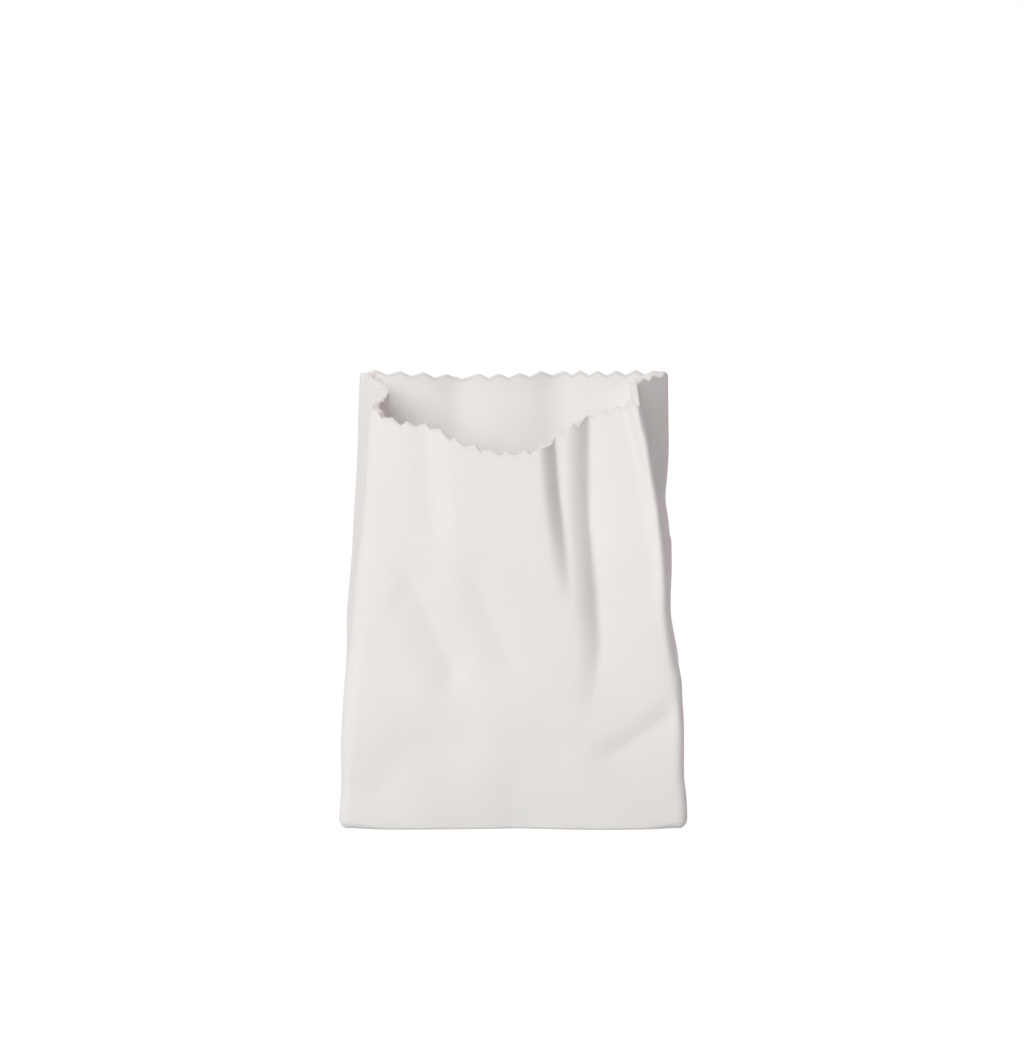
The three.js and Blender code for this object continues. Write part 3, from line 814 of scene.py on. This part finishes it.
@dataclass(frozen=True)
class Bisque:
    """Matt unglazed porcelain with a fine grain and faint clouds, painted lighter on the inside face, and
    along the rim smoother with wear and darker with painted shade.
    """

    colour: Colour = (0.824, 0.816, 0.806)
    cloud: Colour = (0.806, 0.8, 0.791)
    # Lighter and warmer than the outside: painted light that brightens the inside face and warms its shade
    inner: Colour = (0.95, 0.943, 0.926)
    # Darker colour along the rim's edge: painted shade
    rim_shade_and_wear: Colour = (0.72, 0.705, 0.69)
    roughness: float = 0.72
    roughness_spread: float = 0.16
    rubbed_gloss: float = 0.2
    rim_shade_and_wear_least: float = 0.8
    rim_shade_and_wear_range: tuple[float, float] = (0.3, 0.6)
    specular: float = 0.35
    cloud_scale: float = 38.0
    cloud_detail: float = 3.0
    cloud_range: tuple[float, float] = (0.35, 0.7)
    grain_scale: float = 2600.0
    grain_detail: float = 3.0
    grain_roughness: float = 0.6
    tooth_scale: float = 700.0
    tooth_share: float = 0.8
    grain_depth: float = 0.02 * MM
    bump_strength: float = 0.35

    def make(self) -> bpy.types.Material:
        """Make the material."""
        material = bpy.data.materials.new("bisque_porcelain")
        graph = ShaderGraph(material)
        clouds = graph.noise(self.cloud_scale, self.cloud_detail).ramp(*self.cloud_range)
        grain = graph.noise(self.grain_scale, self.grain_detail, self.grain_roughness)
        tooth = graph.noise(self.tooth_scale)
        # Mask along the rim, patchy with noise: it darkens the colour as painted shade and lowers the
        # roughness as wear
        rim_shade_and_wear_patches = self.rim_shade_and_wear_least + (1 - self.rim_shade_and_wear_least) * tooth.ramp(*self.rim_shade_and_wear_range)
        rim_shade_and_wear = graph.mark("edge") * rim_shade_and_wear_patches
        # The inside face takes the lighter inner colour, which is painted light
        body = graph.mix(graph.mark("inside"), graph.mix(clouds, self.colour, self.cloud), self.inner)
        bump = graph.node(
            "ShaderNodeBump",
            inputs={
                "Strength": self.bump_strength,
                "Distance": self.grain_depth,
                "Height": grain + tooth * self.tooth_share,
            },
        )
        uneven = (tooth - NOISE_MIDDLE) * self.roughness_spread
        shader = graph.node(
            "ShaderNodeBsdfPrincipled",
            inputs={
                # The rim's darker colour is painted shade
                "Base Color": graph.mix(rim_shade_and_wear, body, self.rim_shade_and_wear),
                "Roughness": self.roughness + uneven - rim_shade_and_wear * self.rubbed_gloss,
                "Specular IOR Level": self.specular,
                "Normal": bump.outputs[0],
            },
        )
        graph.surface(shader)
        return material


@dataclass(frozen=True)
class Glaze:
    """Clear satin glaze with a soft dimpled skin, which turns dry where it thins out at its edge; its colours
    are painted light, about as light as the bisque's inside.
    """

    # The glaze's colours are painted about as light as the bisque's inside: painted light that brightens the
    # inside
    colour: Colour = (0.953, 0.944, 0.925)
    pool: Colour = (0.945, 0.935, 0.912)
    # The dry edge takes the bisque's inner colour, with its painted light
    dry: Colour = Bisque.inner
    # Where the roughness crosses about 0.27, denoising gives false patches
    roughness: float = 0.31
    roughness_spread: float = 0.06
    dry_roughness: float = 0.42
    cloud_scale: float = 60.0
    cloud_range: tuple[float, float] = (0.3, 0.8)
    dimple_scale: float = 260.0
    dimple_depth: float = 0.05 * MM
    dimple_strength: float = 0.3
    noise_detail: float = 1.0

    def make(self) -> bpy.types.Material:
        """Make the material."""
        material = bpy.data.materials.new("clear_glaze")
        graph = ShaderGraph(material)
        coat = graph.mark("coat")
        clouds = graph.noise(self.cloud_scale, self.noise_detail).ramp(*self.cloud_range)
        dimples = graph.noise(self.dimple_scale, self.noise_detail)
        wet = graph.mix(clouds, self.colour, self.pool)
        bump = graph.node(
            "ShaderNodeBump",
            inputs={
                "Strength": self.dimple_strength,
                "Distance": self.dimple_depth,
                "Height": dimples * coat,
            },
        )
        uneven = clouds * self.roughness_spread
        shader = graph.node(
            "ShaderNodeBsdfPrincipled",
            inputs={
                "Base Color": graph.mix(coat, self.dry, wet),
                "Roughness": self.roughness + uneven + (1 - coat) * self.dry_roughness,
                "Normal": bump.outputs[0],
            },
        )
        graph.surface(shader)
        return material


@dataclass(frozen=True)
class Lamp:
    """A soft square lamp.

    Attributes:
        name: Its name.
        place: Where it stands, in metres.
        size: Length of its side.
        power: Its power in watts.
        colour: Its colour.
    """

    name: str
    place: Place
    size: float
    power: float
    colour: Colour

    def build(self, aim: Place) -> None:
        """Build the lamp, facing a place."""
        data = bpy.data.lights.new(self.name, "AREA")
        data.size = self.size
        data.energy = self.power
        data.color = self.colour
        lamp = bpy.data.objects.new(self.name, data)
        lamp.location = self.place
        lamp.rotation_euler = (Vector(aim) - Vector(self.place)).to_track_quat("-Z", "Y").to_euler()
        bpy.context.scene.collection.objects.link(lamp)


@dataclass
class Studio:
    """The white floor and background, the soft lamps and the camera at the photograph's viewing angle."""

    image_width: float = 1024.0
    image_height: float = 1050.0
    elevation: float = 13.0
    distance: float = 1.0
    pixels_per_mm: float = 4.28
    aim: Place = (0.0, 0.0, 0.05)
    aim_pixel: tuple[float, float] = (513.0, 595.7)
    sensor: float = 36.0

    floor_size: float = 30.0
    floor_colour: Colour = (0.75, 0.768, 0.755)
    floor_white: float = 0.9
    floor_near: float = 0.3
    floor_far: float = 0.9
    white_strength: float = 1.08
    white: Colour = (1.0, 1.0, 1.0)
    ambient: Colour = (0.096, 0.069, 0.076)

    lamps: tuple[Lamp, ...] = (
        Lamp("key", (-0.47, -1.28, 0.97), 1.25, 22.6, (1.0, 0.998, 0.982)),
        Lamp("side", (-1.2, 0.7, 0.4), 1.0, 5.0, (1.0, 0.98, 0.985)),
        Lamp("top", (0.0, 0.45, 1.25), 0.8, 6.5, (1.0, 0.985, 0.97)),
        Lamp("fill", (0.85, 1.15, 0.45), 1.0, 4.2, (1.0, 0.72, 0.82)),
    )

    def build(self) -> None:
        """Build the stage, the lamps and the camera."""
        self.build_floor()
        self.build_world()
        for lamp in self.lamps:
            lamp.build(self.aim)
        self.build_camera()

    def seen_directly(self, graph: ShaderGraph) -> Value:
        """Give 1 for rays that show the background as such, and 0 for those that light the object."""
        path = graph.node("ShaderNodeLightPath")
        camera = graph.value(path, "Is Camera Ray")
        glossy = graph.value(path, "Is Glossy Ray")
        through = graph.value(path, "Is Transmission Ray")
        return camera + glossy + through

    def build_floor(self) -> None:
        """Build the pale floor, almost white to the eye near the vase and plain white far off."""
        mesh = bmesh.new()
        bmesh.ops.create_grid(mesh, x_segments=1, y_segments=1, size=self.floor_size / 2)
        data = bpy.data.meshes.new("studio_floor")
        mesh.to_mesh(data)
        mesh.free()
        floor = bpy.data.objects.new("studio_floor", data)
        bpy.context.scene.collection.objects.link(floor)
        material = bpy.data.materials.new("studio_floor")
        graph = ShaderGraph(material)
        diffuse = graph.node("ShaderNodeBsdfDiffuse", inputs={"Color": (*self.floor_colour, 1.0)})
        white = graph.node("ShaderNodeEmission", inputs={"Strength": self.white_strength})
        place = graph.node("ShaderNodeTexCoord").outputs["Object"]
        length = graph.node("ShaderNodeVectorMath", {"operation": "LENGTH"}, {0: place})
        far = graph.value(length, "Value").ramp(self.floor_near, self.floor_far)
        factor = self.seen_directly(graph) * (self.floor_white + (1 - self.floor_white) * far)
        shaders = {0: factor, 1: diffuse.outputs[0], 2: white.outputs[0]}
        mixed = graph.node("ShaderNodeMixShader", inputs=shaders)
        graph.surface(mixed)
        data.materials.append(material)

    def build_world(self) -> None:
        """Build a world that lights the object softly and looks white."""
        world = bpy.data.worlds.new("studio_world")
        graph = ShaderGraph(world, "ShaderNodeOutputWorld")
        light = graph.node("ShaderNodeBackground", inputs={"Color": (*self.ambient, 1.0)})
        white = graph.node("ShaderNodeBackground", inputs={"Color": (*self.white, 1.0)})
        shaders = {0: self.seen_directly(graph), 1: light.outputs[0], 2: white.outputs[0]}
        mixed = graph.node("ShaderNodeMixShader", inputs=shaders)
        graph.surface(mixed)
        bpy.context.scene.world = world

    def build_camera(self) -> None:
        """Build the camera, with the shift that the photograph's framing needs."""
        data = bpy.data.cameras.new("camera")
        longest = max(self.image_width, self.image_height)
        focal_pixels = self.pixels_per_mm / MM * self.distance
        data.sensor_width = self.sensor
        data.lens = focal_pixels * self.sensor / longest
        data.shift_x = (self.image_width / 2 - self.aim_pixel[0]) / longest
        data.shift_y = (self.aim_pixel[1] - self.image_height / 2) / longest
        camera = bpy.data.objects.new("camera", data)
        tilt = math.radians(self.elevation)
        back = Vector((0.0, -math.cos(tilt), math.sin(tilt)))
        camera.location = Vector(self.aim) + back * self.distance
        camera.rotation_euler = (-back).to_track_quat("-Z", "Y").to_euler()
        bpy.context.scene.collection.objects.link(camera)
        bpy.context.scene.camera = camera


def main() -> None:
    """Build the pieces of the vase and the studio round them."""
    logging.basicConfig(level=logging.INFO, format="%(name)s: %(message)s")
    bpy.context.scene.view_settings.view_transform = "Standard"
    form = BagForm()

    body = PorcelainBody(form).build()
    body.data.materials.append(Bisque().make())
    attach(body, "root")
    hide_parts("front_panel", "right_gusset", "back_panel", "left_gusset", "base_tray")

    lining = GlazeLining(form).build()
    lining.data.materials.append(Glaze().make())
    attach(lining, "root")
    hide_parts("glaze_lining")

    for piece in (body, lining):
        LOG.info("%s: %d vertices, %d faces", piece.name, len(piece.data.vertices), len(piece.data.polygons))
    Studio().build()


if __name__ == "__main__":
    main()
